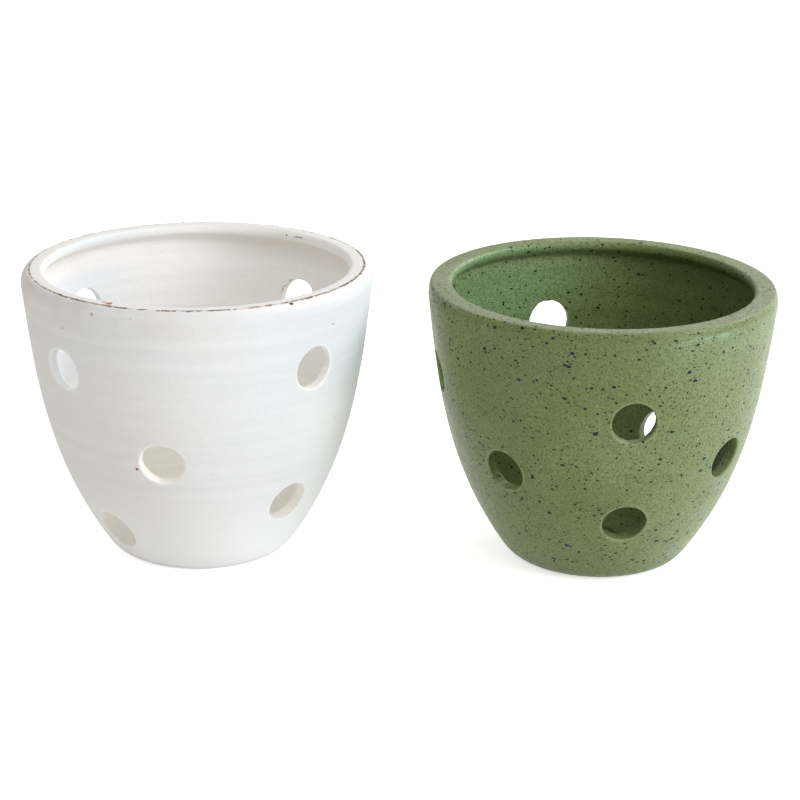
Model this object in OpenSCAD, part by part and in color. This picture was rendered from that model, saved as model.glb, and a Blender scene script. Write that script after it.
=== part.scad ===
// A pair of ceramic orchid pots of one model, one white and one green.
// Each pot is a single piece of fired clay: a thrown, belly-curved cup with a rolled rim,
// drilled all round so that air reaches the roots, and with a drain hole in its foot.
// +Z is up and Z 0 is the shelf. The origin is the centre of the pair's footprint.
// Azimuths are in degrees from +X towards +Y, and the pair is seen from -Y.

/* [White pot] */
// Diameter of the white pot over its rim
white_rim_d = 141.6; // [120:0.1:170]
// Height of the white pot
white_height = 119.6; // [100:0.1:140]
// Diameter of the white pot at its foot
white_foot_d = 71.2; // [62:0.1:90]
// How far the soft outer shoulder of the white rim runs in
white_shoulder_w = 3.7; // [1:0.1:5]

/* [Green pot] */
// Diameter of the green pot over its rim
green_rim_d = 140; // [120:0.5:170]
// Height of the green pot
green_height = 115.2; // [100:0.1:140]
// Diameter of the green pot at its foot
green_foot_d = 69.2; // [62:0.1:90]
// How far the outer shoulder of the green rim runs in
green_shoulder_w = 1.5; // [1:0.1:5]

/* [Wall] */
// Thickness of the wall below the rim
wall_t = 3.8; // [3:0.1:7]
// Thickness of the wall where it meets the floor
heel_t = 9; // [4:0.1:11]
// Thickness of the floor over the foot ring
floor_t = 7; // [5:0.1:10]
// Radius between the floor and the wall inside
floor_round = 10; // [4:0.5:16]
// Share of the flare that is straight, the rest curls into the foot
flare_share = 0.35; // [0.1:0.05:0.8]
// How tightly the wall curls into the foot, outside and inside
foot_curl = 3.1; // [2:0.05:4]

/* [Rim] */
// Width of the rim from its widest line to its inner edge
rim_w = 9.6; // [8:0.1:12]
// How far the outer shoulder of the rim falls
shoulder_h = 5.5; // [1:0.1:8]
// Radius of the inner edge of the rim
lip_round = 2; // [0.5:0.1:3]
// Height of the lip's inner face, its rounded edge included
lip_face_h = 3.8; // [3.5:0.1:9]
// Height of the hollow under the lip, where the rim runs out into the wall
undercut_h = 4.2; // [3:0.1:12]

/* [Foot] */
// Radius of the outer edge of the foot
foot_round = 1.6; // [0.5:0.1:3]
// Width of the ring that the pot stands on
foot_ring_w = 8; // [5:0.5:14]
// Depth of the recess inside the foot ring
foot_recess = 1.5; // [0.5:0.1:3]
// Diameter of the drain hole in the floor
drain_d = 17.5; // [8:0.5:24]

/* [Air holes] */
// Diameter of the drilled air holes
hole_d = 17.5; // [10:0.5:20]
// How far the drill points down as it leaves the wall, in degrees
hole_tilt = 8; // [0:1:20]
// Least wall left between an air hole and the floor
hole_land = 1; // [0.5:0.5:4]

/* [Layout] */
// Space between the two rims, seen from the front
rim_gap = 22; // [5:0.1:60]
// How much nearer the green pot stands than the white one
stagger = 6.5; // [0:0.1:20]

/* [Hidden] */

// Azimuth of each air hole, and its place in the drilling band as a share:
// 0 is the lowest that an air hole can sit, 1 the highest.
white_hole_shares = [
    [53.4, 0.83], [142.1, 0.82], [223.5, 0.83], [316, 0.85],
    [12, 0.43], [132, 0.41], [260.5, 0.44],
    [72, 0.16], [170, 0.11], [227.5, 0.01], [315, 0.17]
];
green_hole_shares = [
    [12, 0.74], [106, 0.76], [188, 0.767], [277.5, 0.74],
    [140, 0.42], [228, 0.41], [322, 0.455],
    [54, 0.24], [168, 0.14], [278, 0.18]
];

// What every cut runs past the surface it leaves
overrun = 1;
// How many bands each curve of the outline has
wall_steps = 26;
round_steps = 7;
$fn = 96;

// The pots' centres. The footprint of the pair is centred on the origin.
white_r = white_rim_d / 2;
green_r = green_rim_d / 2;
pair_w = white_rim_d + rim_gap + green_rim_d;
white_x = white_r - pair_w / 2;
green_x = pair_w / 2 - green_r;
white_y = (stagger + green_r - white_r) / 2;
green_y = white_y - stagger;

// The outer wall: part straight flare, part curl, up to the rim's widest line.
function flare(s) = flare_share * s + (1 - flare_share) * (1 - pow(1 - s, foot_curl));
function rise(z, height) = min(z / (height - shoulder_h), 1);
function wall_r(z, rim_d, height, foot_d) = foot_d / 2 + (rim_d - foot_d) / 2 * flare(rise(z, height));

// The inner wall follows the outer one, and thickens towards the heel.
function wall_thick(z, height) = wall_t + (heel_t - wall_t) * pow(1 - rise(z, height), foot_curl);
function bore_r(z, rim_d, height, foot_d) = wall_r(z, rim_d, height, foot_d) - wall_thick(z, height);

// An ease from 0 to 1 with no corner at either end
function ease(s) = (1 - cos(180 * s)) / 2;

// The steps of one stretch of the outline, its far end included
function steps(n) = [for (i = [1 : n]) i / n];

// Half of the pot's section, from the centre of the foot up the outside,
// over the rim and down the inside to the centre of the floor.
function pot_outline(rim_d, height, foot_d, shoulder_w) =
    let (
        ring_r = foot_d / 2 - foot_round,
        heel_r = wall_r(foot_round, rim_d, height, foot_d),
        shoulder_z = height - shoulder_h,
        lip_r = rim_d / 2 - rim_w,
        face_z = height - lip_face_h,
        cove_z = face_z - undercut_h,
        cove_r = bore_r(cove_z, rim_d, height, foot_d),
        corner_z = floor_t + floor_round
    )
    concat(
        // foot: the recess, the ring it stands on, and the rounded outer edge
        [[0, foot_recess], [ring_r - foot_ring_w - foot_recess, foot_recess], [ring_r - foot_ring_w, 0], [ring_r, 0]],
        [for (s = steps(round_steps))
            [ring_r + (heel_r - ring_r) * sin(90 * s), foot_round * (1 - cos(90 * s))]],
        // outer wall
        [for (s = steps(wall_steps))
            let (z = foot_round + (shoulder_z - foot_round) * s) [wall_r(z, rim_d, height, foot_d), z]],
        // soft outer shoulder of the rim
        [for (s = steps(round_steps))
            [rim_d / 2 - shoulder_w * (1 - cos(90 * s)), shoulder_z + shoulder_h * sin(90 * s)]],
        // inner edge and face of the lip
        [[lip_r + lip_round, height]],
        [for (s = steps(round_steps))
            [lip_r + lip_round * (1 - sin(90 * s)), height - lip_round * (1 - cos(90 * s))]],
        [[lip_r, face_z]],
        // hollow under the lip
        [for (s = steps(round_steps))
            [lip_r + (cove_r - lip_r) * ease(s), face_z - undercut_h * s]],
        // inner wall
        [for (s = steps(wall_steps))
            let (z = cove_z + (corner_z - cove_z) * s) [bore_r(z, rim_d, height, foot_d), z]],
        // rounded corner and floor
        [for (s = steps(round_steps))
            let (z = corner_z - floor_round * sin(90 * s))
            [bore_r(z, rim_d, height, foot_d) - floor_round * (1 - cos(90 * s)), z]],
        [[0, floor_t]]
    );

// Height of an air hole's centre from its share of the drilling band
function hole_z(share, height) =
    let (
        low = floor_t + hole_land + hole_d / 2,
        high = height - lip_face_h - undercut_h + hole_land - hole_d / 2
    )
    low + share * (high - low);

// One drill, standing in the wall at its azimuth and aimed a little down
module drill(azimuth, z, rim_d, height, foot_d) {
    reach = heel_t + hole_d / 2 + overrun;
    rotate([0, 0, azimuth])
        translate([wall_r(z, rim_d, height, foot_d), 0, z])
            rotate([0, 90 + hole_tilt, 0])
                cylinder(h = 2 * reach, d = hole_d, center = true);
}

module pot(rim_d, height, foot_d, shoulder_w, hole_shares) {
    difference() {
        rotate_extrude()
            polygon(pot_outline(rim_d, height, foot_d, shoulder_w));
        translate([0, 0, -overrun])
            cylinder(h = floor_t + 2 * overrun, d = drain_d);
        for (hole = hole_shares)
            drill(hole[0], hole_z(hole[1], height), rim_d, height, foot_d);
    }
}

module white_pot() {
    color("#ebe8e3")
        translate([white_x, white_y, 0])
            pot(white_rim_d, white_height, white_foot_d, white_shoulder_w, white_hole_shares);
}

module green_pot() {
    color("#7f9660")
        translate([green_x, green_y, 0])
            pot(green_rim_d, green_height, green_foot_d, green_shoulder_w, green_hole_shares);
}

white_pot();
green_pot();
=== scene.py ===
# Two orchid pots from one workshop, thrown in red clay and drilled for air.
# The left one has a matt white slip, the right one a satin sage glaze with dark specks.
import math
import bpy
import bmesh
from mathutils import Matrix, Vector


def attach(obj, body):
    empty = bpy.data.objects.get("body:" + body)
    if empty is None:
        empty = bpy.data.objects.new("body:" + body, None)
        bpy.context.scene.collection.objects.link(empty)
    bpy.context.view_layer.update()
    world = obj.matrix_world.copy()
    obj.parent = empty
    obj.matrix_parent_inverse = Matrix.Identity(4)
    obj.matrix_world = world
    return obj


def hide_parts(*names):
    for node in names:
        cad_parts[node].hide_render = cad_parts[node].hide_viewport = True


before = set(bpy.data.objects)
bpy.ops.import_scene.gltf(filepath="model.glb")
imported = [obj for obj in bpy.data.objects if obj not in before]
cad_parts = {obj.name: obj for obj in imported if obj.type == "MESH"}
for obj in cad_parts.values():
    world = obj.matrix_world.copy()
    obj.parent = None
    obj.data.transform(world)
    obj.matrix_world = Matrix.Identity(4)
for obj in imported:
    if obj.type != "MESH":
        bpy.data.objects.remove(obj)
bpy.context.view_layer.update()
mm = 0.001

# the form that both pots share, in millimetres and degrees
form = {
    "wall": 3.8, "heel": 9.0, "floor": 7.0, "corner": 10.0,
    "straight": 0.35, "curl": 3.1,                      # how the wall flares
    "rimWide": 9.6, "shoulderHigh": 5.5,
    "lipRound": 2.0, "lipFace": 2.6, "hollow": 5.4,
    "heelHigh": 6.0, "heelWide": 5.0,
    "ringWide": 4.0, "ringRound": 0.3, "ringSlope": 0.4, "recess": 1.5,
    "drain": 17.5, "drainRound": 0.8, "drainRows": (5.2, 4.2, 3.1),
    "columns": 240, "rowPitch": 1.55, "smoothTo": 50,   # the mesh
}

# how many rows of faces each stretch of the outline gets; rowPitch sets those of the two walls
rowCounts = {
    "drainEdge": 4, "recess": 7, "ring": 4, "heel": 12, "shoulder": 12, "rimTop": 3,
    "lipRound": 7, "lipFace": 3, "hollow": 7, "corner": 10, "floor": 8,
}

whitePot = {
    "piece": "white_pot_body", "node": "white_pot", "slot": "white_slip",
    "place": (-81.0, 2.85), "rim": 141.6, "height": 119.6, "foot": 71.2, "shoulder": 3.7,
    # azimuth of each air hole and its place in the drilling band, from 0 to 1
    "holes": [(53.4, 0.83), (142.1, 0.82), (223.5, 0.83), (316, 0.85),
              (12, 0.43), (132, 0.41), (260.5, 0.44),
              (72, 0.16), (170, 0.11), (227.5, 0.01), (315, 0.17)],
    "lean": (0.004, -0.0034),
    "softEdge": 0.85, "wobble": 0.10, "ragged": 0.14,
    "ringDepth": 0.16, "ringPitch": 8.0, "sway": 0.14, "phase": 0.6,
}

greenPot = {
    "piece": "green_pot_body", "node": "green_pot", "slot": "green_glaze",
    "place": (81.8, -3.65), "rim": 140.0, "height": 115.2, "foot": 69.2, "shoulder": 1.5,
    "holes": [(12, 0.74), (106, 0.76), (188, 0.767), (277.5, 0.74),
              (140, 0.42), (228, 0.41), (322, 0.455),
              (54, 0.24), (168, 0.14), (278, 0.18)],
    "lean": (-0.0051, 0.0074),
    "softEdge": 0.95, "wobble": 0.13, "ragged": 0.30,
    "ringDepth": 0.12, "ringPitch": 9.0, "sway": 0.14, "phase": 2.1,
}


# the thrown form

def wallR(pot, z):
    s = min(z / (pot["height"] - form["shoulderHigh"]), 1)
    flare = form["straight"] * s + (1 - form["straight"]) * (1 - (1 - s) ** form["curl"])
    return pot["foot"] / 2 + (pot["rim"] - pot["foot"]) / 2 * flare


def boreR(pot, z):
    s = min(z / (pot["height"] - form["shoulderHigh"]), 1)
    return wallR(pot, z) - form["wall"] - (form["heel"] - form["wall"]) * (1 - s) ** form["curl"]


def innerR(pot, z):
    # the whole inner side: floor corner, wall, hollow under the lip, lip
    lipR = pot["rim"] / 2 - form["rimWide"]
    faceZ = pot["height"] - form["lipFace"]
    coveZ = faceZ - form["hollow"]
    cornerZ = form["floor"] + form["corner"]
    if z <= form["floor"]:
        return 0
    if z < cornerZ:
        drop = (cornerZ - z) / form["corner"]
        return boreR(pot, z) - form["corner"] * (1 - math.sqrt(1 - drop * drop))
    if z < coveZ:
        return boreR(pot, z)
    if z < faceZ:
        down = (faceZ - z) / form["hollow"]
        return lipR + (boreR(pot, coveZ) - lipR) * (1 - math.cos(math.pi * down)) / 2
    return lipR


def steps(count):
    # the shares of a stretch, its far end included
    return [i / count for i in range(1, count + 1)]


def bend(start, corner, end, t):
    # a point on the curve that leaves start towards corner and reaches end from it
    return start * (1 - t) ** 2 + corner * 2 * t * (1 - t) + end * t * t


def outlineOf(pot):
    # half of the section as (radius, height, side): from the middle of the drain, along the foot,
    # up the outside, over the rim, down the inside and back to the drain
    h = pot["height"]
    rimR = pot["rim"] / 2
    lipR = rimR - form["rimWide"]
    drainR = form["drain"] / 2
    drainRound = form["drainRound"]
    ringR = pot["foot"] / 2 - form["heelWide"]
    innerRing = ringR - form["ringWide"]
    shoulderZ = h - form["shoulderHigh"]
    faceZ = h - form["lipFace"]
    coveZ = faceZ - form["hollow"]
    cornerZ = form["floor"] + form["corner"]
    drainHigh, drainMiddle, drainLow = form["drainRows"]
    rows = []

    def row(r, z, side):
        rows.append((r, z, side))

    def line(end, count, side):
        r, z, _ = rows[-1]
        for t in steps(count):
            row(r + (end[0] - r) * t, z + (end[1] - z) * t, side)

    def quarter(count):
        # the sine of each step of a quarter turn, and how far its cosine has fallen
        return [(math.sin(math.pi / 2 * t), 1 - math.cos(math.pi / 2 * t)) for t in steps(count)]

    row(drainR, drainMiddle, "drain")
    row(drainR, drainLow, "drain")
    row(drainR, form["recess"] + drainRound, "foot")
    for rise, fall in quarter(rowCounts["drainEdge"]):
        row(drainR + drainRound * fall, form["recess"] + drainRound * (1 - rise), "foot")
    line((innerRing - form["recess"], form["recess"]), rowCounts["recess"], "foot")
    row(innerRing - form["ringSlope"], form["ringRound"], "foot")
    row(innerRing + form["ringRound"], 0.0, "foot")
    line((ringR, 0.0), rowCounts["ring"], "foot")

    # a soft heel that runs on into the wall's own slope
    heelHigh = form["heelHigh"]
    heelR = wallR(pot, heelHigh)
    heelSlope = wallR(pot, heelHigh + 0.5) - wallR(pot, heelHigh - 0.5)
    for t in steps(rowCounts["heel"]):
        row(bend(ringR, heelR - heelHigh * heelSlope, heelR, t), heelHigh * t * t, "foot")
    for t in steps(round((shoulderZ - heelHigh) / form["rowPitch"])):
        z = heelHigh + (shoulderZ - heelHigh) * t
        row(wallR(pot, z), z, "outside")

    # over the rim and round the lip
    for rise, fall in quarter(rowCounts["shoulder"]):
        row(rimR - pot["shoulder"] * fall, shoulderZ + form["shoulderHigh"] * rise, "rim")
    line((lipR + form["lipRound"], h), rowCounts["rimTop"], "rim")
    for rise, fall in quarter(rowCounts["lipRound"]):
        row(lipR + form["lipRound"] * (1 - rise), h - form["lipRound"] * fall, "lip")
    line((lipR, faceZ), rowCounts["lipFace"], "lip")

    # the hollow, the inner wall and the floor
    for t in steps(rowCounts["hollow"]):
        z = faceZ - form["hollow"] * t
        row(innerR(pot, z), z, "inside")
    for t in steps(round((coveZ - cornerZ) / form["rowPitch"])):
        z = coveZ + (cornerZ - coveZ) * t
        row(boreR(pot, z), z, "inside")
    for rise, fall in quarter(rowCounts["corner"]):
        z = cornerZ - form["corner"] * rise
        row(boreR(pot, z) - form["corner"] * fall, z, "corner")
    line((drainR + drainRound, form["floor"]), rowCounts["floor"], "floor")
    for rise, fall in quarter(rowCounts["drainEdge"]):
        row(drainR + drainRound * (1 - rise), form["floor"] - drainRound * fall, "floor")
    row(drainR, drainHigh, "drain")
    return rows


def throwPot(pot):
    # one point is drawn along the outline and spun round the wheel's axis
    rows = outlineOf(pot)
    bpy.ops.object.select_all(action="DESELECT")
    bpy.ops.mesh.primitive_plane_add(size=2 * mm, location=(0, 0, 0))
    piece = bpy.context.active_object
    piece.name = pot["piece"]
    piece.data.name = pot["piece"]
    bpy.ops.object.mode_set(mode="EDIT")
    bpy.ops.mesh.select_mode(type="VERT")
    bpy.ops.mesh.merge(type="CENTER")
    bpy.ops.transform.translate(value=(rows[0][0] * mm, 0, rows[0][1] * mm))
    for last, new in zip(rows, rows[1:] + rows[:1]):
        move = ((new[0] - last[0]) * mm, 0, (new[1] - last[1]) * mm)
        bpy.ops.mesh.extrude_region_move(TRANSFORM_OT_translate={"value": move})
    bpy.ops.mesh.select_all(action="SELECT")
    bpy.ops.mesh.spin(steps=form["columns"], angle=2 * math.pi, center=(0, 0, 0), axis=(0, 0, 1))
    bpy.ops.mesh.select_all(action="SELECT")
    bpy.ops.mesh.remove_doubles(threshold=0.004 * mm)
    return piece, rows


# the air holes, in millimetres and degrees
drilling = {
    "hole": 17.5, "tilt": 8.0, "land": 1.0,
    "windowGap": 0.9,           # plain wall round a hole's soft edge that its rings take the place of
    "rowGap": 0.6, "columnGap": 0.8,
    "wallNear": 1.4,            # a face this near to the wall's surface is part of it
    "innerSoft": 0.6,           # the inner edge's softness, as a share of the outer one's
    "outerRough": 0.25, "innerRough": 0.75,
    "outerReach": (-12.0, 14.0), "innerReach": (-26.0, 14.0), "halvings": 34, "marks": 60,
    "edgeRows": 4, "tunnelRows": 5,
    "arrisFlat": 0.3, "arrisDeep": 0.45, "tunnelDeep": 0.8,     # how far an edge's finish spreads
}


def holeZ(pot, share):
    low = form["floor"] + drilling["land"] + drilling["hole"] / 2
    high = pot["height"] - form["lipFace"] - form["hollow"] + drilling["land"] - drilling["hole"] / 2
    return low + share * (high - low)


def drillFor(pot, azimuth, share):
    # the drill stands where its axis meets the outer wall, and points down a little as it leaves
    a = math.radians(azimuth)
    b = math.radians(drilling["tilt"])
    z = holeZ(pot, share)
    out = Vector((math.cos(a), math.sin(a), 0))
    up = Vector((0, 0, 1))
    return {
        "azimuth": azimuth,
        "centre": out * wallR(pot, z) + up * z,
        "axis": out * math.cos(b) - up * math.sin(b),
        "over": out * math.sin(b) + up * math.cos(b),
        "side": Vector((-math.sin(a), math.cos(a), 0)),
    }


def alongDrill(drill, radius, angle, depth):
    spoke = math.cos(angle) * drill["side"] + math.sin(angle) * drill["over"]
    return drill["centre"] + radius * spoke + depth * drill["axis"]


def wallAlong(pot, drill, radius, angle, surface):
    # how far along the drill this line of it crosses the outer or inner wall
    low, high = drilling["innerReach"] if surface is innerR else drilling["outerReach"]
    for i in range(drilling["halvings"]):
        mid = (low + high) / 2
        p = alongDrill(drill, radius, angle, mid)
        if math.hypot(p.x, p.y) < surface(pot, p.z):
            low = mid
        else:
            high = mid
    return (low + high) / 2


def onWall(pot, drill, radius, angle, surface, deeper=0.0):
    depth = wallAlong(pot, drill, radius, angle, surface)
    return alongDrill(drill, radius, angle, depth + deeper)


def uneven(angle, seed, rough):
    # the cutter's wander, slow outside and ragged where the clay tore inside
    slow = 0.6 * math.sin(2 * angle + seed * 1.7) + 0.4 * math.sin(3 * angle + seed * 2.9)
    torn = (0.5 * math.sin(7 * angle + seed * 4.1) + 0.3 * math.sin(11 * angle + seed * 1.3)
            + 0.4 * math.sin(17 * angle + seed * 5.7))
    return slow * (1 - rough) + torn * rough


def windowFor(pot, rows, sides, drill, reach, surface):
    # the block of wall faces that a hole's rings take the place of
    count = drilling["marks"]
    marks = [onWall(pot, drill, reach, math.radians(360 / count * i), surface) for i in range(count)]
    turns = []
    for p in marks:
        turn = math.degrees(math.atan2(p.y, p.x)) - drill["azimuth"]
        turns.append((turn + 180) % 360 - 180)
    lowZ = min(p.z for p in marks) - drilling["rowGap"]
    highZ = max(p.z for p in marks) + drilling["rowGap"]
    order = sorted((z, k) for k, (r, z, side) in enumerate(rows) if side in sides)
    below = max(i for i, (z, k) in enumerate(order) if z < lowZ)
    above = min(i for i, (z, k) in enumerate(order) if z > highZ)
    return order, below, above, max(abs(t) for t in turns)


def windowEdge(rows, order, below, above, first, last):
    # the points round a window as (point, angle), from its lower right corner and round
    pitch = math.radians(360 / form["columns"])
    points = []

    def corner(i, c):
        r, z, side = rows[order[i][1]]
        return Vector((r * math.cos(c * pitch), r * math.sin(c * pitch), z))

    tall, wide = above - below, last - first
    for n in range(tall):
        points.append((corner(below + n, last), math.radians(-45 + 90 * n / tall)))
    for n in range(wide):
        points.append((corner(above, last - n), math.radians(45 + 90 * n / wide)))
    for n in range(tall):
        points.append((corner(above - n, first), math.radians(135 + 90 * n / tall)))
    for n in range(wide):
        points.append((corner(below, first + n), math.radians(225 + 90 * n / wide)))
    return points


def sleeveLine(pot, drill, seed, reach, start, end, angle):
    # one line through the wall, from the outer window's edge to the inner one's;
    # each stop is a point, how much it is an edge, and how far it is inside the hole
    radius = drilling["hole"] / 2
    soft = pot["softEdge"]
    innerSoft = drilling["innerSoft"] * soft
    outR = radius + pot["wobble"] * uneven(angle, seed, drilling["outerRough"])
    inR = radius + pot["ragged"] * uneven(angle, seed + 3, drilling["innerRough"])
    outerFlat = onWall(pot, drill, outR + soft, angle, wallR)
    outerCorner = onWall(pot, drill, outR, angle, wallR)
    outerDeep = onWall(pot, drill, outR, angle, wallR, -soft)
    innerFlat = onWall(pot, drill, inR + innerSoft, angle, innerR)
    innerCorner = onWall(pot, drill, inR, angle, innerR)
    innerDeep = onWall(pot, drill, inR, angle, innerR, innerSoft)

    arrisFlat, arrisDeep, tunnelDeep = drilling["arrisFlat"], drilling["arrisDeep"], drilling["tunnelDeep"]
    stops = [(start, 0, 0), (onWall(pot, drill, reach, angle, wallR), 0, 0), (outerFlat, arrisFlat, 0)]
    for t in steps(drilling["edgeRows"])[:-1]:
        stops.append((bend(outerFlat, outerCorner, outerDeep, t), 1, t * 0.5))
    stops.append((outerDeep, arrisDeep, tunnelDeep))
    for t in steps(drilling["tunnelRows"])[:-1]:
        stops.append((outerDeep.lerp(innerDeep, t), 0, 1))
    stops.append((innerDeep, arrisDeep, tunnelDeep))
    for t in steps(drilling["edgeRows"])[:-1]:
        stops.append((bend(innerDeep, innerCorner, innerFlat, t), 1, 0.5 - t * 0.5))
    stops += [(innerFlat, arrisFlat, 0), (onWall(pot, drill, reach, angle, innerR), 0, 0), (end, 0, 0)]
    return stops


def planHole(pot, rows, azimuth, share):
    # the windows to cut in the wall, and the lines that lead from one to the other
    drill = drillFor(pot, azimuth, share)
    reach = drilling["hole"] / 2 + pot["softEdge"] + drilling["windowGap"]
    outer, outerLow, outerHigh, outerTurn = windowFor(pot, rows, ("foot", "outside"), drill, reach, wallR)
    inner, innerLow, innerHigh, innerTurn = windowFor(pot, rows, ("inside", "corner"), drill, reach, innerR)

    # both windows get the same number of rows and of columns
    grow = (outerHigh - outerLow) - (innerHigh - innerLow)
    if grow > 0:
        innerHigh += grow - grow // 2
        innerLow -= grow // 2
    else:
        outerHigh += -grow - (-grow) // 2
        outerLow -= (-grow) // 2
    pitch = 360 / form["columns"]
    half = max(outerTurn, innerTurn) + math.degrees(drilling["columnGap"] / innerR(pot, drill["centre"].z))
    first = math.floor((azimuth - half) / pitch)
    last = math.ceil((azimuth + half) / pitch)
    windows = [(wallR, outer[outerLow][0], outer[outerHigh][0], first, last),
               (innerR, inner[innerLow][0], inner[innerHigh][0], first, last)]

    outerEdge = windowEdge(rows, outer, outerLow, outerHigh, first, last)
    innerEdge = windowEdge(rows, inner, innerLow, innerHigh, first, last)
    seed = azimuth * 0.37 + share * 9
    lines = [sleeveLine(pot, drill, seed, reach, start, end, angle)
             for (start, angle), (end, _) in zip(outerEdge, innerEdge)]
    return windows, lines


def nameLayers(mesh):
    layers = mesh.verts.layers.float
    return [layers.get(name) or layers.new(name) for name in ("arris", "tunnel", "within")]


def drawSleeve(lines):
    # a ring of points is extruded through the wall, one stop after another
    bpy.ops.object.select_all(action="DESELECT")
    bpy.ops.mesh.primitive_circle_add(vertices=len(lines), radius=drilling["hole"] / 2 * mm, location=(0, 0, 0))
    sleeve = bpy.context.active_object
    bpy.ops.object.mode_set(mode="EDIT")
    bpy.ops.mesh.select_mode(type="VERT")
    bpy.ops.mesh.select_all(action="SELECT")
    mesh = bmesh.from_edit_mesh(sleeve.data)
    turn = mesh.verts.layers.int.new("turn")
    nameLayers(mesh)
    for i, v in enumerate(mesh.verts):
        v[turn] = i
    bmesh.update_edit_mesh(sleeve.data)
    for stop in range(len(lines[0])):
        if stop:
            bpy.ops.mesh.extrude_region_move(TRANSFORM_OT_translate={"value": (0, 0, 0)})
        mesh = bmesh.from_edit_mesh(sleeve.data)
        turn = mesh.verts.layers.int["turn"]
        arris, tunnel, within = nameLayers(mesh)
        for v in mesh.verts:
            if v.select:
                point, edge, deep = lines[v[turn]][stop]
                v.co = point * mm
                v[arris] = edge
                v[tunnel] = deep
        bmesh.update_edit_mesh(sleeve.data)
    bpy.ops.object.mode_set(mode="OBJECT")
    sleeve.data.attributes.remove(sleeve.data.attributes["turn"])
    return sleeve


def selectOpenEdge():
    bpy.ops.mesh.select_all(action="DESELECT")
    bpy.ops.mesh.select_non_manifold(extend=False, use_wire=False, use_boundary=True, use_multi_face=False,
                                     use_non_contiguous=False, use_verts=False)


def drillPot(piece, pot, rows):
    plans = [planHole(pot, rows, azimuth, share) for azimuth, share in pot["holes"]]
    windows = [window for plan in plans for window in plan[0]]
    pitch = 360 / form["columns"]

    # the windows in both sides of the wall
    bpy.ops.mesh.select_all(action="DESELECT")
    bpy.ops.mesh.select_mode(type="FACE")
    mesh = bmesh.from_edit_mesh(piece.data)
    for face in mesh.faces:
        c = face.calc_center_median() / mm
        r = math.hypot(c.x, c.y)
        column = math.degrees(math.atan2(c.y, c.x)) % 360 / pitch
        for surface, low, high, first, last in windows:
            if low < c.z < high and abs(r - surface(pot, c.z)) < drilling["wallNear"]:
                if (column - first) % form["columns"] < last - first:
                    face.select_set(True)
                    break
    bmesh.update_edit_mesh(piece.data)
    bpy.ops.mesh.delete(type="FACE")
    nameLayers(bmesh.from_edit_mesh(piece.data))
    bpy.ops.object.mode_set(mode="OBJECT")

    # a sleeve joins each pair of windows
    sleeves = [drawSleeve(plan[1]) for plan in plans]
    bpy.ops.object.select_all(action="DESELECT")
    for part in sleeves + [piece]:
        part.select_set(True)
    bpy.context.view_layer.objects.active = piece
    bpy.ops.object.join()
    bpy.ops.object.mode_set(mode="EDIT")
    bpy.ops.mesh.select_mode(type="VERT")
    selectOpenEdge()
    bpy.ops.mesh.remove_doubles(threshold=0.01 * mm)
    selectOpenEdge()
    mesh = bmesh.from_edit_mesh(piece.data)
    print(pot["piece"], "open points left", sum(v.select for v in mesh.verts))


# what a hand leaves in the clay, in millimetres
hand = {"ringEnd": 2.0, "ringFade": 8.0, "clear": 0.03,
        "wallSkin": 1.0, "floorSkin": 0.5}      # a point this near to the inner side belongs to it


def leanDrop(pot, x, y):
    # how far the leaning rim comes down above this place, in millimetres
    leanX, leanY = pot["lean"]
    return math.hypot(leanX, leanY) * pot["rim"] / 2 - leanX * x - leanY * y


def settlePot(piece, pot):
    # throwing rings inside, and the slight sway of a pot made by hand; nothing grows past the true form
    mesh = bmesh.from_edit_mesh(piece.data)
    within = mesh.verts.layers.float["within"]
    tunnel = mesh.verts.layers.float["tunnel"]
    phase = pot["phase"]
    ringLow = form["floor"] + form["corner"]
    ringHigh = pot["height"] - form["lipFace"] - hand["ringEnd"]
    for v in mesh.verts:
        x, y, z = v.co / mm
        r = math.hypot(x, y)
        turn = math.atan2(y, x)
        share = z / pot["height"]
        inside = r < innerR(pot, z) + hand["wallSkin"] and z > form["floor"] - hand["floorSkin"]
        v[within] = 1.0 if inside else 0.0
        sway = 0.5 + 0.28 * math.sin(2 * turn + phase) + 0.16 * math.sin(3 * turn + 2 * phase)
        shrink = pot["sway"] * sway * (0.35 + 0.65 * share) + hand["clear"]
        if inside and v[tunnel] < 0.5 and ringLow < z < ringHigh:
            climb = z / pot["ringPitch"] + turn / (2 * math.pi)
            ease = min(1, (z - ringLow) / hand["ringFade"]) * min(1, (ringHigh - z) / hand["ringFade"])
            depth = pot["ringDepth"] * ease * (0.7 + 0.3 * math.sin(z * 0.21 + phase))
            shrink -= depth * math.sin(2 * math.pi * climb)
        if r > 1:
            v.co.x -= x / r * shrink * mm
            v.co.y -= y / r * shrink * mm
        v.co.z -= leanDrop(pot, x, y) * share * mm
    bmesh.update_edit_mesh(piece.data)


def finishPot(piece, pot):
    bpy.ops.mesh.select_all(action="SELECT")
    bpy.ops.mesh.normals_make_consistent(inside=False)
    bpy.ops.object.mode_set(mode="OBJECT")
    piece.location = (pot["place"][0] * mm, pot["place"][1] * mm, 0)
    bpy.ops.object.transform_apply(location=True, rotation=True, scale=True)
    bpy.ops.object.shade_smooth_by_angle(angle=math.radians(form["smoothTo"]))
    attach(piece, "root")
    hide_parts(pot["node"])
    triangles = sum(len(p.vertices) - 2 for p in piece.data.polygons)
    print(pot["piece"], "done with", triangles, "triangles")


# small helpers for the finishes

def newFinish(name):
    finish = bpy.data.materials.new(name)
    finish.use_nodes = True
    tree = finish.node_tree
    return finish, tree, tree.nodes["Principled BSDF"]


def feed(tree, socket, value):
    if isinstance(value, bpy.types.NodeSocket):
        tree.links.new(value, socket)
    else:
        socket.default_value = value


def add(tree, kind, settings, sockets):
    node = tree.nodes.new(kind)
    for name, value in settings.items():
        setattr(node, name, value)
    for name, value in sockets.items():
        feed(tree, node.inputs[name], value)
    return node


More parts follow.
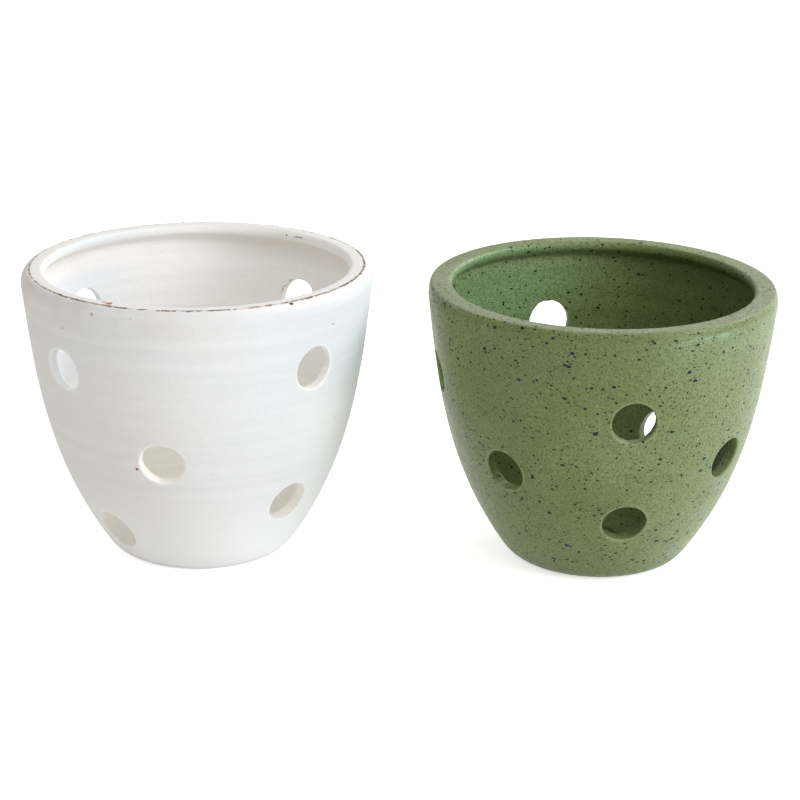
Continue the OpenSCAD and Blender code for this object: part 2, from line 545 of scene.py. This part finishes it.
def calc(tree, operation, *values):
    node = add(tree, "ShaderNodeMath", {"operation": operation}, {})
    for socket, value in zip(node.inputs, values):
        feed(tree, socket, value)
    return node.outputs[0]


def vectorCalc(tree, operation, *values):
    node = add(tree, "ShaderNodeVectorMath", {"operation": operation}, {})
    for socket, value in zip(node.inputs, values):
        feed(tree, socket, value)
    return node.outputs


def times(tree, result, *others):
    for other in others:
        result = calc(tree, "MULTIPLY", result, other)
    return result


def fade(tree, value, start, end, low=0.0, high=1.0):
    node = add(tree, "ShaderNodeMapRange", {"interpolation_type": "SMOOTHSTEP"}, {
        "Value": value, "From Min": start, "From Max": end, "To Min": low, "To Max": high})
    return node.outputs[0]


def blendColour(tree, share, first, second, mode="MIX"):
    node = add(tree, "ShaderNodeMix", {"data_type": "RGBA", "blend_type": mode}, {})
    feed(tree, node.inputs[0], share)
    feed(tree, node.inputs[6], first)
    feed(tree, node.inputs[7], second)
    return node.outputs[2]


def stretched(tree, where, scale, rotation=(0, 0, 0)):
    return add(tree, "ShaderNodeMapping", {}, {
        "Vector": where, "Rotation": rotation, "Scale": scale}).outputs[0]


def cloud(tree, where, scale, detail, rough=0.5, stretch=None):
    if stretch:
        where = stretched(tree, where, stretch)
    return add(tree, "ShaderNodeTexNoise", {}, {
        "Vector": where, "Scale": scale, "Detail": detail, "Roughness": rough}).outputs["Fac"]


def cloudsFor(tree, where, settings):
    return {name: cloud(tree, where, *values) for name, values in settings.items()}


def cellsOf(tree, where, scale):
    # the distance to the middle of the nearest cell, and a chance drawn for that cell
    cells = add(tree, "ShaderNodeTexVoronoi", {}, {"Vector": where, "Scale": scale})
    chance = add(tree, "ShaderNodeSeparateColor", {}, {"Color": cells.outputs["Color"]}).outputs[0]
    return cells.outputs["Distance"], chance


def painted(tree, name):
    return add(tree, "ShaderNodeAttribute", {"attribute_name": name}, {}).outputs["Fac"]


def potSpace(tree, pot):
    # coordinates with the pot's own axis in the middle, its radius, and its height with the lean taken out
    place, lean = pot["place"], pot["lean"]
    h = pot["height"] * mm
    coords = tree.nodes.new("ShaderNodeTexCoord").outputs["Object"]
    where = add(tree, "ShaderNodeMapping", {}, {
        "Vector": coords, "Location": (-place[0] * mm, -place[1] * mm, 0)}).outputs[0]
    flat = vectorCalc(tree, "MULTIPLY", where, (1, 1, 0))["Vector"]
    radius = vectorCalc(tree, "LENGTH", flat)["Value"]
    split = add(tree, "ShaderNodeSeparateXYZ", {}, {"Vector": where}).outputs
    tip = vectorCalc(tree, "DOT_PRODUCT", where, (lean[0] / h, lean[1] / h, 0))["Value"]
    squeeze = calc(tree, "ADD", tip, 1 - leanDrop(pot, 0, 0) / pot["height"])
    return where, radius, calc(tree, "DIVIDE", split["Z"], squeeze), split["X"], split["Y"]


def rulersOn(tree, pot, radius, height, x, y):
    # fades between two places on a pot: so many millimetres below its top, above the shelf
    # or in from its widest line, or so many of the rim's radii to the right or to the back
    h, rim = pot["height"], pot["rim"] / 2

    def below(start, end, low=0.0, high=1.0):
        return fade(tree, height, (h - start) * mm, (h - end) * mm, low, high)

    def above(start, end, low=0.0, high=1.0):
        return fade(tree, height, start * mm, end * mm, low, high)

    def inward(start, end, low=0.0, high=1.0):
        return fade(tree, radius, (rim - start) * mm, (rim - end) * mm, low, high)

    def across(start, end, low=0.0, high=1.0):
        return fade(tree, x, start * rim * mm, end * rim * mm, low, high)

    def deep(start, end, low=0.0, high=1.0):
        return fade(tree, y, start * rim * mm, end * rim * mm, low, high)

    return below, above, inward, across, deep


def nearSpot(tree, where, pot, spot, ripple):
    # 1 within a spot's size of its place on the pot, with an edge broken up by ripple
    azimuth, radius, height, size = spot
    x, y = radius * math.cos(math.radians(azimuth)), radius * math.sin(math.radians(azimuth))
    point = (x * mm, y * mm, height * (1 - leanDrop(pot, x, y) / pot["height"]) * mm)
    away = vectorCalc(tree, "DISTANCE", where, point)["Value"]
    rough = calc(tree, "MULTIPLY_ADD", ripple, size * 1.2 * mm, -size * 0.6 * mm)
    return fade(tree, calc(tree, "ADD", away, rough), size * mm, size * 0.8 * mm)


def bumps(tree, shader, settings, *heights):
    # the strength and depth in millimetres of each height, the broad ones first
    normal = None
    for (strength, depth), height in zip(settings.values(), heights):
        node = add(tree, "ShaderNodeBump", {}, {"Height": height, "Strength": strength, "Distance": depth * mm})
        if normal is not None:
            feed(tree, node.inputs["Normal"], normal)
        normal = node.outputs[0]
    feed(tree, shader.inputs["Normal"], normal)


rawClay = (0.42, 0.17, 0.085, 1)
footWiped = (0.3, 0.12)         # where the bare foot ends, in millimetres

slip = {
    "cool": (0.80, 0.808, 0.808, 1), "warm": (0.812, 0.802, 0.784, 1), "paintedKeyLightBlue": (0.745, 0.785, 0.81, 1),
    "inside": (0.96, 0.935, 0.90, 1), "paintedBounceLowInside": (0.99, 0.95, 0.88, 1), "paintedKeyLitInside": (0.79, 0.812, 0.84, 1),
    "flat": (0.745, 0.735, 0.71, 1), "thickSlipAndPaintedLight": (0.91, 0.91, 0.90, 1), "thin": (0.70, 0.60, 0.53, 1),
    "worn": (0.11, 0.075, 0.04, 1), "tan": (0.38, 0.275, 0.165, 1), "faded": (0.58, 0.47, 0.37, 1),
    "chip": (0.50, 0.135, 0.05, 1), "clay": (0.50, 0.20, 0.10, 1),
    "rough": 0.82, "shine": 0.25,
    # the scale, detail and roughness of each cloud, and what it is stretched by
    "clouds": {"broad": (17, 3), "brushed": (1, 4, 0.6, (9, 9, 300)), "grain": (1300, 5, 0.7),
               "patches": (42, 4, 0.6), "dashes": (210, 3, 0.65), "nicks": (900, 3, 0.6), "rubbed": (380, 2),
               "torn": (420, 4, 0.7), "ripple": (900, 3), "dents": (240, 4, 0.6)},
    "pins": 105,
    "bumps": {"brushed": (0.35, 0.25), "dents": (0.5, 0.14), "grain": (0.6, 0.08), "worn": (0.5, -0.12)},
    # the rubbed line round the rim, in millimetres
    "lineFront": 0.72, "lineSide": 0.3, "lineRight": 0.2, "lineVaries": 0.2, "lineIn": 0.05,
    # knocks and dull spots: azimuth, radius, height, size and colour
    "knocks": [
        (243.4, 64.5, 119.6, 1.5, "chip"), (240.9, 63.6, 119.5, 0.9, "chip"),
        (306.1, 68.4, 119.1, 0.85, "worn"), (240.0, 70.4, 116.2, 0.75, "faded"),
        (56.9, 61.3, 118.0, 0.5, "tan"), (52.6, 61.3, 118.0, 0.38, "tan"), (51.6, 61.3, 118.0, 0.42, "worn"),
        (50.7, 61.3, 118.1, 0.42, "worn"), (49.8, 61.3, 118.1, 0.42, "worn"), (49.0, 61.3, 118.1, 0.38, "tan"),
        (322.9, 70.0, 107.3, 0.5, "clay"), (226.7, 70.0, 107.6, 0.4, "tan"), (250.6, 60.6, 52.2, 0.7, "clay"),
    ],
    "tornHole": (57, 65, 96.5, 8),                      # the hole edge that is torn most
}


def whiteSlip(pot):
    finish, tree, shader = newFinish("white slip over red clay")
    where, radius, height, x, y = potSpace(tree, pot)
    clouds = cloudsFor(tree, where, slip["clouds"])
    brushed, grain, patches, ripple = clouds["brushed"], clouds["grain"], clouds["patches"], clouds["ripple"]
    below, above, inward, across, deep = rulersOn(tree, pot, radius, height, x, y)
    rim = pot["rim"] / 2 * mm
    arris = painted(tree, "arris")
    within = calc(tree, "MAXIMUM", painted(tree, "within"), painted(tree, "tunnel"))
    outside = calc(tree, "SUBTRACT", 1.0, within)

    def paint(share, tint):
        nonlocal colour
        colour = blendColour(tree, share, colour, tint)

    # the slip itself, brushed on in turns, warm and cool in places
    colour = blendColour(tree, fade(tree, clouds["broad"], 0.35, 0.65), slip["warm"], slip["cool"])
    # painted light: a cool, slightly darker tint on the right of the outside, where the key light falls
    paint(times(tree, outside, across(0, 0.8), below(2.2, 3.2), below(60, 25, 0.3, 1.0)), slip["paintedKeyLightBlue"])

    # its inner side, painted lighter than the slip outside for the light that bounces round inside, with painted
    # cool key light on the left wall and on the left lip face, and painted warm bounce light low down
    left = across(-0.1, -0.75)
    inner = blendColour(tree, times(tree, left, below(11, 19, 0.2, 1.0)), slip["inside"], slip["paintedKeyLitInside"])
    inner = blendColour(tree, times(tree, left, below(3.4, 2.0)), inner, slip["paintedKeyLightBlue"])
    inner = blendColour(tree, times(tree, above(68, 50), above(9, 16, 0.3, 1.0)), inner, slip["paintedBounceLowInside"])
    paint(times(tree, within, 0.9), inner)
    tone = calc(tree, "ADD", fade(tree, brushed, 0.3, 0.7, -0.022, 0.022), fade(tree, grain, 0.3, 0.7, -0.03, 0.03))
    colour = blendColour(tree, 1.0, colour, calc(tree, "ADD", tone, 0.98), "MULTIPLY")

    # it thins towards the rim, where the clay warms it; a faint warm tint down the left of the outside is painted
    # shade, and the lighter tint low on the right and towards the foot is painted light, the foot's standing in for
    # light from the floor
    band = times(tree, below(18, 3), fade(tree, patches, 0.40, 0.64))
    paint(times(tree, band, outside, across(0.1, -0.5, 0.14, 0.5)), slip["thin"])
    # painted shade on the left of the outside
    paint(times(tree, outside, across(-0.4, -1, 0.0, 0.12)), slip["thin"])
    # painted light low on the right and towards the foot
    paint(times(tree, outside, across(0.45, 0.8, 0.0, 0.7), below(32, 52)), slip["thickSlipAndPaintedLight"])
    paint(times(tree, outside, above(52, 8, 0.0, 0.85)), slip["thickSlipAndPaintedLight"])
    paint(times(tree, below(0.5, 0.2), inward(8.4, 7.4)), slip["flat"])

    # and a faint warm painted shade in the hollow under the lip, most on the right
    hollow = times(tree, below(15, 8), below(3, 5), within)
    paint(times(tree, hollow, across(-0.3, 0.4, 0.0, 0.3)), slip["thin"])

    # pinholes, few and faint
    away, chance = cellsOf(tree, where, slip["pins"])
    pin = calc(tree, "LESS_THAN", away, fade(tree, chance, 0.62, 1.0, 0.0, 0.048))
    paint(times(tree, pin, 0.35), slip["tan"])

    # the ridge round the rim is rubbed through, most at the two sides and least at the back
    sides = fade(tree, calc(tree, "ABSOLUTE", x), 0.55 * rim, 0.95 * rim)
    odds = calc(tree, "ADD", clouds["dashes"], times(tree, sides, 0.03))
    odds = calc(tree, "SUBTRACT", odds, deep(0, 0.5, 0.0, 0.1))
    width = fade(tree, sides, 0.0, 1.0, slip["lineFront"] * mm, slip["lineSide"] * mm)
    width = times(tree, fade(tree, odds, 0.38, 0.53), width)
    width = calc(tree, "ADD", width, across(0.55, 0.9, 0.0, slip["lineRight"] * mm))
    varies = slip["lineVaries"] * mm
    width = calc(tree, "ADD", width, fade(tree, clouds["nicks"], 0.35, 0.65, -varies, varies))
    ridge = calc(tree, "ABSOLUTE", calc(tree, "SUBTRACT", radius, rim - (pot["shoulder"] - slip["lineIn"]) * mm))
    worn = fade(tree, calc(tree, "SUBTRACT", ridge, width), 0.06 * mm, -0.1 * mm)
    worn = times(tree, worn, below(0.9, 0.4))
    hue = blendColour(tree, fade(tree, clouds["rubbed"], 0.44, 0.62), slip["worn"], slip["tan"])
    paint(times(tree, worn, 0.92), hue)

    # the slip gathers in a brighter line on the edges of the holes
    paint(times(tree, arris, 0.75), slip["thickSlipAndPaintedLight"])

    # torn grains of clay on some hole edges, most on the right one at the back
    torn = calc(tree, "MULTIPLY_ADD", nearSpot(tree, where, pot, slip["tornHole"], ripple), 0.14, clouds["torn"])
    frayed = times(tree, fade(tree, arris, 0.2, 0.7), fade(tree, torn, 0.66, 0.72))
    paint(times(tree, frayed, 0.75), slip["tan"])

    # knocks that show the clay, and dull brown spots beside the ridge
    for *spot, tint in slip["knocks"]:
        paint(nearSpot(tree, where, pot, spot, ripple), slip[tint])

    # the foot was wiped clean
    wiped = calc(tree, "ADD", height, fade(tree, patches, 0.3, 0.7, -0.12 * mm, 0.12 * mm))
    paint(fade(tree, wiped, footWiped[0] * mm, footWiped[1] * mm), rawClay)

    feed(tree, shader.inputs["Base Color"], colour)
    shader.inputs["Roughness"].default_value = slip["rough"]
    shader.inputs["Specular IOR Level"].default_value = slip["shine"]
    bumps(tree, shader, slip["bumps"], brushed, clouds["dents"], grain, worn)
    return finish


glaze = {
    "body": (0.147, 0.185, 0.056, 1), "pale": (0.192, 0.246, 0.096, 1), "paintedLitSide": (0.218, 0.278, 0.130, 1),
    "olive": (0.096, 0.114, 0.028, 1), "moss": (0.130, 0.187, 0.074, 1), "paintedLitInner": (0.205, 0.330, 0.160, 1),
    "edge": (0.26, 0.33, 0.17, 1), "under": (0.30, 0.40, 0.20, 1), "shade": (0.070, 0.084, 0.022, 1),
    "thin": (0.245, 0.285, 0.18, 1), "bare": (0.27, 0.28, 0.205, 1), "pooledGlazeAndGlint": (0.34, 0.52, 0.35, 1),
    "fleck": (0.026, 0.040, 0.010, 1), "speck": (0.002, 0.003, 0.003, 1),
    "rough": (0.38, 0.48), "shine": 0.25,
    "clouds": {"broad": (26, 4), "mossy": (38, 3), "grain": (1250, 3, 0.65), "coarse": (420, 3, 0.6),
               "patches": (120, 4, 0.6), "lines": (1, 4, 0.6, (60, 60, 900)), "dents": (60, 3)},
    "bumps": {"dents": (0.3, 0.35), "coarse": (0.35, 0.12), "grain": (0.5, 0.07), "dark": (0.5, -0.08)},
    # iron specks: millimetres between them, the share of places filled, their size as a share, wander
    "gather": (75, 2), "slantTurn": (0.3, 0.5, 0.2), "slantStretch": (0.8, 0.8, 1.15),
    "dust": (0.95, 0.85, 0.24, 900), "fine": (1.6, 0.9, 0.21, 700),
    "middling": (2.6, 0.95, 0.2, 600), "big": (4.2, 0.7, 0.175, 420),
}


def flecks(tree, where, size, share, reach, wander):
    # specks in this share of the cells, from half of reach to reach of a cell in radius, and gathered in places
    jitter = add(tree, "ShaderNodeTexNoise", {}, {"Vector": where, "Scale": wander, "Detail": 2.0})
    moved = vectorCalc(tree, "MULTIPLY_ADD", jitter.outputs["Color"], (size * 0.35 * mm,) * 3, where)["Vector"]
    away, chance = cellsOf(tree, moved, 1 / (size * mm))
    limit = times(tree, fade(tree, chance, 1 - share, 1.0, reach * 0.5, reach),
                  calc(tree, "GREATER_THAN", chance, 1 - share),
                  fade(tree, cloud(tree, where, *glaze["gather"]), 0.36, 0.56, 0.8, 1.1))
    return fade(tree, calc(tree, "SUBTRACT", away, limit), 0.06 / size, -0.04 / size)


def sageGlaze(pot):
    finish, tree, shader = newFinish("speckled sage glaze")
    where, radius, height, x, y = potSpace(tree, pot)
    clouds = cloudsFor(tree, where, glaze["clouds"])
    grain, coarse, patches = clouds["grain"], clouds["coarse"], clouds["patches"]
    below, above, inward, across, deep = rulersOn(tree, pot, radius, height, x, y)
    rim = pot["rim"] / 2 * mm
    within = painted(tree, "within")
    arris = painted(tree, "arris")
    tunnel = painted(tree, "tunnel")
    outside = calc(tree, "SUBTRACT", 1.0, within)

    def paint(share, tint):
        nonlocal colour
        colour = blendColour(tree, share, colour, tint)

    # the glaze, clouded and paler towards the foot; painted light on the right of the outside and on the upper
    # inner wall at the left, painted shade on the inner wall at the right, painted light in the hollow under the
    # lip, and a darker olive in the hole tunnels, partly thin glaze and partly painted shade
    colour = blendColour(tree, fade(tree, clouds["broad"], 0.32, 0.68), glaze["body"], glaze["pale"])
    paint(fade(tree, clouds["mossy"], 0.45, 0.6, 0.0, 0.6), glaze["moss"])
    paint(times(tree, outside, above(42, 8, 0.0, 0.8)), glaze["pale"])
    # painted light on the right of the outside, where the key light and its sheen fall
    paint(times(tree, outside, across(0, 0.7, 0.0, 0.85)), glaze["paintedLitSide"])
    # painted light on the upper inner wall at the left, where the key light falls
    paint(times(tree, within, below(52, 22), across(0.45, -0.6)), glaze["paintedLitInner"])
    # painted shade on the inner wall at the right, which faces away from the key light
    paint(times(tree, within, across(0.1, 0.9, 0.0, 0.8)), glaze["shade"])
    # painted light in the hollow under the lip, to lift its shade
    paint(times(tree, below(14, 7), below(3.0, 4.5), within, across(0.4, -0.25)), glaze["under"])
    # darker olive in the hole tunnels, partly glaze that ran thin and uneven there and partly painted shade
    paint(times(tree, tunnel, 0.5), glaze["olive"])

    # and finely grained all over
    paint(fade(tree, grain, 0.56, 0.36, 0.0, 0.75), glaze["olive"])
    paint(fade(tree, grain, 0.54, 0.72, 0.0, 0.5), glaze["edge"])
    paint(fade(tree, coarse, 0.52, 0.74, 0.0, 0.3), glaze["olive"])

    # it runs thin on the flat of the rim, where the clay's grain shows, and on the edges of the holes
    soft = fade(tree, patches, 0.3, 0.7, -0.35 * mm, 0.35 * mm)
    reach = deep(-0.5, -1, rim - 0.9 * mm, rim - 3.7 * mm)
    flat = fade(tree, calc(tree, "SUBTRACT", calc(tree, "ADD", radius, soft), reach), 0.4 * mm, -0.4 * mm)
    flat = times(tree, flat, below(1.3, 0.7), inward(9.1, 8.4), deep(0.8, 0.1, 0.1, 0.9))
    gritty = blendColour(tree, fade(tree, coarse, 0.4, 0.62), glaze["thin"], glaze["bare"])
    gritty = blendColour(tree, fade(tree, grain, 0.52, 0.4, 0.0, 0.7), gritty, glaze["olive"])
    gritty = blendColour(tree, fade(tree, grain, 0.55, 0.68, 0.0, 0.6), gritty, glaze["edge"])
    paint(flat, gritty)
    paint(times(tree, arris, fade(tree, patches, 0.3, 0.6, 0.2, 0.7)), glaze["edge"])

    # a darker line where the rim turns down
    paint(times(tree, below(3.6, 2.4), below(1.0, 1.9), inward(3, 2), 0.3), glaze["olive"])

    # it gathers in a paler streak under the front right of the rim, painted paler still as a painted glint of the
    # key light, with a faint painted sheen round it
    side = times(tree, across(0.12, 0.4), deep(-0.2, -0.6))
    paint(times(tree, side, below(26, 5), below(1.6, 2.6), 0.08), glaze["pooledGlazeAndGlint"])
    streak = times(tree, below(6.4, 4.2), below(1.6, 2.9), side, across(0.74, 0.56),
                   fade(tree, clouds["lines"], 0.47, 0.58))
    paint(times(tree, streak, 0.36), glaze["pooledGlazeAndGlint"])

    # iron specks in four sizes, the fine ones sparser inside
    slant = stretched(tree, where, glaze["slantStretch"], glaze["slantTurn"])
    dust, fine, middling, big = [flecks(tree, slant, *glaze[name]) for name in ("dust", "fine", "middling", "big")]
    paint(times(tree, dust, 0.7), glaze["fleck"])
    fine = times(tree, fine, fade(tree, within, 0.0, 1.0, 0.9, 0.3))
    dark = calc(tree, "MAXIMUM", fine, calc(tree, "MAXIMUM", middling, big))
    paint(times(tree, dark, fade(tree, flat, 0.0, 1.0, 1.0, 0.6)), glaze["speck"])

    # the foot was wiped clean
    wiped = calc(tree, "MULTIPLY_ADD", soft, 0.3, height)
    paint(fade(tree, wiped, footWiped[0] * mm, footWiped[1] * mm), rawClay)

    feed(tree, shader.inputs["Base Color"], colour)
    roughness = calc(tree, "ADD", fade(tree, patches, 0.3, 0.7, *glaze["rough"]), times(tree, flat, 0.2))
    roughness = calc(tree, "SUBTRACT", roughness, times(tree, streak, 0.14))
    feed(tree, shader.inputs["Roughness"], roughness)
    shader.inputs["Specular IOR Level"].default_value = glaze["shine"]
    bumps(tree, shader, glaze["bumps"], clouds["dents"], coarse, grain, dark)
    return finish


# the camera, the floor and the light

camera = {"lens": 108.75, "sensor": 36, "near": 0.01,
          "at": (0.98, -935.2, 381.9), "pitch": 71.162, "roll": 0.467}

paper = {"size": 12, "at": (0, 2, 0), "shade": (0.97, 0.97, 0.97, 1), "white": (1.0, 1.0, 1.0, 1), "glow": 0.62}

light = {
    "sky": 0.53, "skyColour": (1.0, 0.968, 0.925, 1), "aim": (0, 0, 0.06),
    "key": {"at": (1.805, -1.042, 1.032), "size": 1.2, "power": 25.5, "colour": (0.955, 1.0, 1.05)},
    "back": {"at": (1.33, 1.33, 1.38), "size": 1.2, "power": 30.0, "colour": (0.97, 1.0, 1.03)},
    "front": {"at": (0.45, -1.24, 1.94), "size": 1.2, "power": 7.0, "colour": (1.0, 1.0, 1.0)},
}


def setCamera():
    bpy.ops.object.camera_add(location=(0, 0, 0))
    eye = bpy.context.active_object
    eye.name = "eye"
    eye.data.lens = camera["lens"]
    eye.data.sensor_width = camera["sensor"]
    eye.data.clip_start = camera["near"]
    eye.matrix_world = (Matrix.Translation(Vector(camera["at"]) * mm)
                        @ Matrix.Rotation(math.radians(camera["pitch"]), 4, "X")
                        @ Matrix.Rotation(math.radians(camera["roll"]), 4, "Z"))
    bpy.context.scene.camera = eye


def seen(tree):
    # 1 for what the camera sees directly or in a shine
    path = tree.nodes.new("ShaderNodeLightPath").outputs
    shine = calc(tree, "MAXIMUM", path["Is Glossy Ray"], path["Is Transmission Ray"])
    return calc(tree, "MAXIMUM", path["Is Camera Ray"], shine)


def layFloor():
    bpy.ops.object.select_all(action="DESELECT")
    bpy.ops.mesh.primitive_plane_add(size=paper["size"], location=paper["at"])
    bpy.ops.object.transform_apply(location=True, rotation=True, scale=True)
    floor = bpy.context.active_object
    floor.name = "studio_floor"
    finish, tree, shader = newFinish("studio paper")
    shader.inputs["Roughness"].default_value = 1.0
    shader.inputs["Specular IOR Level"].default_value = 0.0
    watched = seen(tree)
    feed(tree, shader.inputs["Base Color"], blendColour(tree, watched, paper["shade"], paper["white"]))
    shader.inputs["Emission Color"].default_value = paper["white"]
    feed(tree, shader.inputs["Emission Strength"], fade(tree, watched, 0.0, 1.0, 0.0, paper["glow"]))
    floor.data.materials.append(finish)


def setLight():
    bpy.context.scene.view_settings.view_transform = "Standard"
    world = bpy.context.scene.world or bpy.data.worlds.new("studio")
    bpy.context.scene.world = world
    world.use_nodes = True
    tree = world.node_tree
    sky = tree.nodes["Background"]
    watched = seen(tree)
    feed(tree, sky.inputs["Color"], blendColour(tree, watched, light["skyColour"], paper["white"]))
    feed(tree, sky.inputs["Strength"], fade(tree, watched, 0.0, 1.0, light["sky"], 1.0))
    for name in ("key", "back", "front"):
        lamp = light[name]
        bpy.ops.object.light_add(type="AREA", location=lamp["at"])
        soft = bpy.context.active_object
        soft.name = name
        soft.data.shape = "DISK"
        soft.data.size = lamp["size"]
        soft.data.energy = lamp["power"]
        soft.data.color = lamp["colour"]
        toPots = Vector(light["aim"]) - Vector(lamp["at"])
        soft.rotation_euler = toPots.to_track_quat("-Z", "Y").to_euler()


for pot, makeFinish in ((whitePot, whiteSlip), (greenPot, sageGlaze)):
    piece, rows = throwPot(pot)
    print(pot["piece"], "thrown")
    drillPot(piece, pot, rows)
    print(pot["piece"], "drilled")
    settlePot(piece, pot)
    finishPot(piece, pot)
    piece.data.materials.append(makeFinish(pot))

setCamera()
layFloor()
setLight()
print("studio set")
